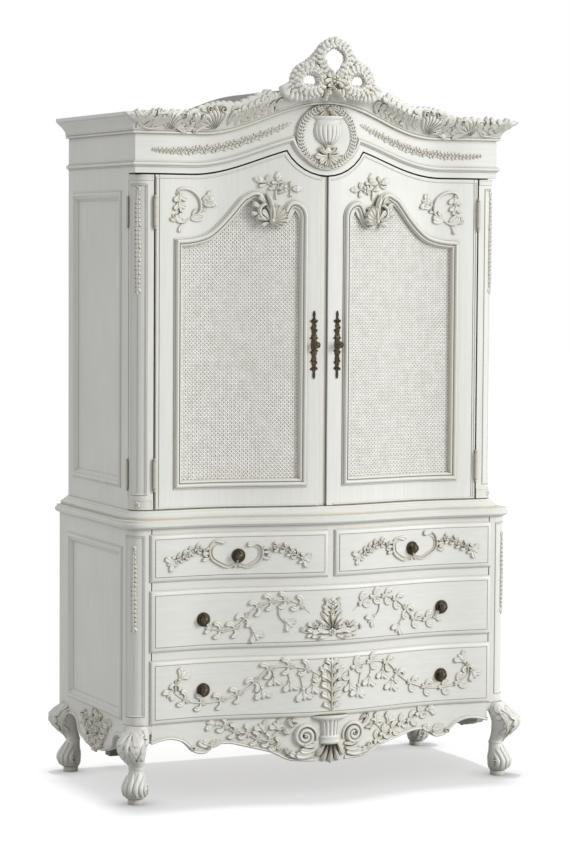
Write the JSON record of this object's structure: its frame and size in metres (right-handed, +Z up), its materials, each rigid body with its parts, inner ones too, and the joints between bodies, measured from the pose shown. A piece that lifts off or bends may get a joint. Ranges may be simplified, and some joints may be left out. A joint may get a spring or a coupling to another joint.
{
  "type": "linen press",
  "caption": "Painted two-part linen press: bowed chest of drawers on cabriole legs under a cupboard with cane doors, arched frieze and carved crest.",
  "frame": {"origin": "on the floor, under the middle of the whole piece", "axes": "+X to the right seen from the front, +Y to the back, +Z up; the doors and drawers face -Y"},
  "size_m": [1.3918, 0.712, 2.36],
  "materials": {
    "painted_wood": "off-white paint with a rubbed beige glaze",
    "bare_wood": "unpainted softwood and board",
    "dark_wood": "dark unfinished wood",
    "cane": "painted woven cane",
    "brass": "antique brass",
    "bronze": "dark bronze"
  },
  "bodies": {
    "root": {"lower_sides": "painted_wood", "side_panels": "painted_wood", "side_mouldings": "painted_wood", "lower_back": "bare_wood", "lower_bottom": "bare_wood", "corner_posts": "painted_wood", "lower_top": "painted_wood", "face_rails": "painted_wood", "drawer_runners": "bare_wood", "front_apron": "painted_wood", "apron_shell": "painted_wood", "side_aprons": "painted_wood", "front_legs": "painted_wood", "back_legs": "painted_wood", "foot_pads": "painted_wood", "support_blocks": "dark_wood", "upper_sides": "painted_wood", "upper_back": "bare_wood", "upper_bottom": "bare_wood", "base_moulding": "painted_wood", "frieze": "painted_wood", "astragal": "painted_wood", "crown": "painted_wood", "crown_carving": "painted_wood", "crest": "painted_wood", "medallion": "painted_wood", "roof_board": "dark_wood", "shelves": "bare_wood", "shelf_pins": "brass", "side_hinge_leaves": "brass", "side_hinge_pins": "brass"},
    "pilaster_left": {"pilaster_left": "painted_wood", "pilaster_leaves_left": "brass", "door_pins_left": "brass"},
    "pilaster_right": {"pilaster_right": "painted_wood", "pilaster_leaves_right": "brass", "door_pins_right": "brass"},
    "door_left": {"door_frame_left": "painted_wood", "door_moulding_left": "painted_wood", "cane_left": "cane", "pull_left": "brass", "meeting_strip": "painted_wood", "door_leaves_left": "brass"},
    "door_right": {"door_frame_right": "painted_wood", "door_moulding_right": "painted_wood", "cane_right": "cane", "pull_right": "brass", "door_leaves_right": "brass"},
    "drawer_small_left": {"small_left_front": "painted_wood", "small_left_box": "bare_wood", "small_left_knob": "bronze"},
    "drawer_small_right": {"small_right_front": "painted_wood", "small_right_box": "bare_wood", "small_right_knob": "bronze"},
    "drawer_middle": {"middle_front": "painted_wood", "middle_box": "bare_wood", "middle_knobs": "bronze"},
    "drawer_bottom": {"bottom_front": "painted_wood", "bottom_box": "bare_wood", "bottom_knobs": "bronze"}
  },
  "joints": [
    {"name": "pilaster_left_hinge", "type": "hinge", "parent": "root", "child": "pilaster_left", "pos_m": [-0.6263, -0.184, 1.399], "axis": [0, 0, -1], "range_deg": [0, 90]},
    {"name": "pilaster_right_hinge", "type": "hinge", "parent": "root", "child": "pilaster_right", "pos_m": [0.6263, -0.184, 1.399], "axis": [0, 0, 1], "range_deg": [0, 90]},
    {"name": "door_left_hinge", "type": "hinge", "parent": "pilaster_left", "child": "door_left", "pos_m": [-0.557, -0.2418, 1.399], "axis": [0, 0, -1], "range_deg": [0, 150]},
    {"name": "door_right_hinge", "type": "hinge", "parent": "pilaster_right", "child": "door_right", "pos_m": [0.557, -0.2418, 1.399], "axis": [0, 0, 1], "range_deg": [0, 150]},
    {"name": "drawer_small_left_slide", "type": "slide", "parent": "root", "child": "drawer_small_left", "axis": [0, -1, 0], "range_m": [0, 0.4]},
    {"name": "drawer_small_right_slide", "type": "slide", "parent": "root", "child": "drawer_small_right", "axis": [0, -1, 0], "range_m": [0, 0.4]},
    {"name": "drawer_middle_slide", "type": "slide", "parent": "root", "child": "drawer_middle", "axis": [0, -1, 0], "range_m": [0, 0.4]},
    {"name": "drawer_bottom_slide", "type": "slide", "parent": "root", "child": "drawer_bottom", "axis": [0, -1, 0], "range_m": [0, 0.4]}
  ]
}
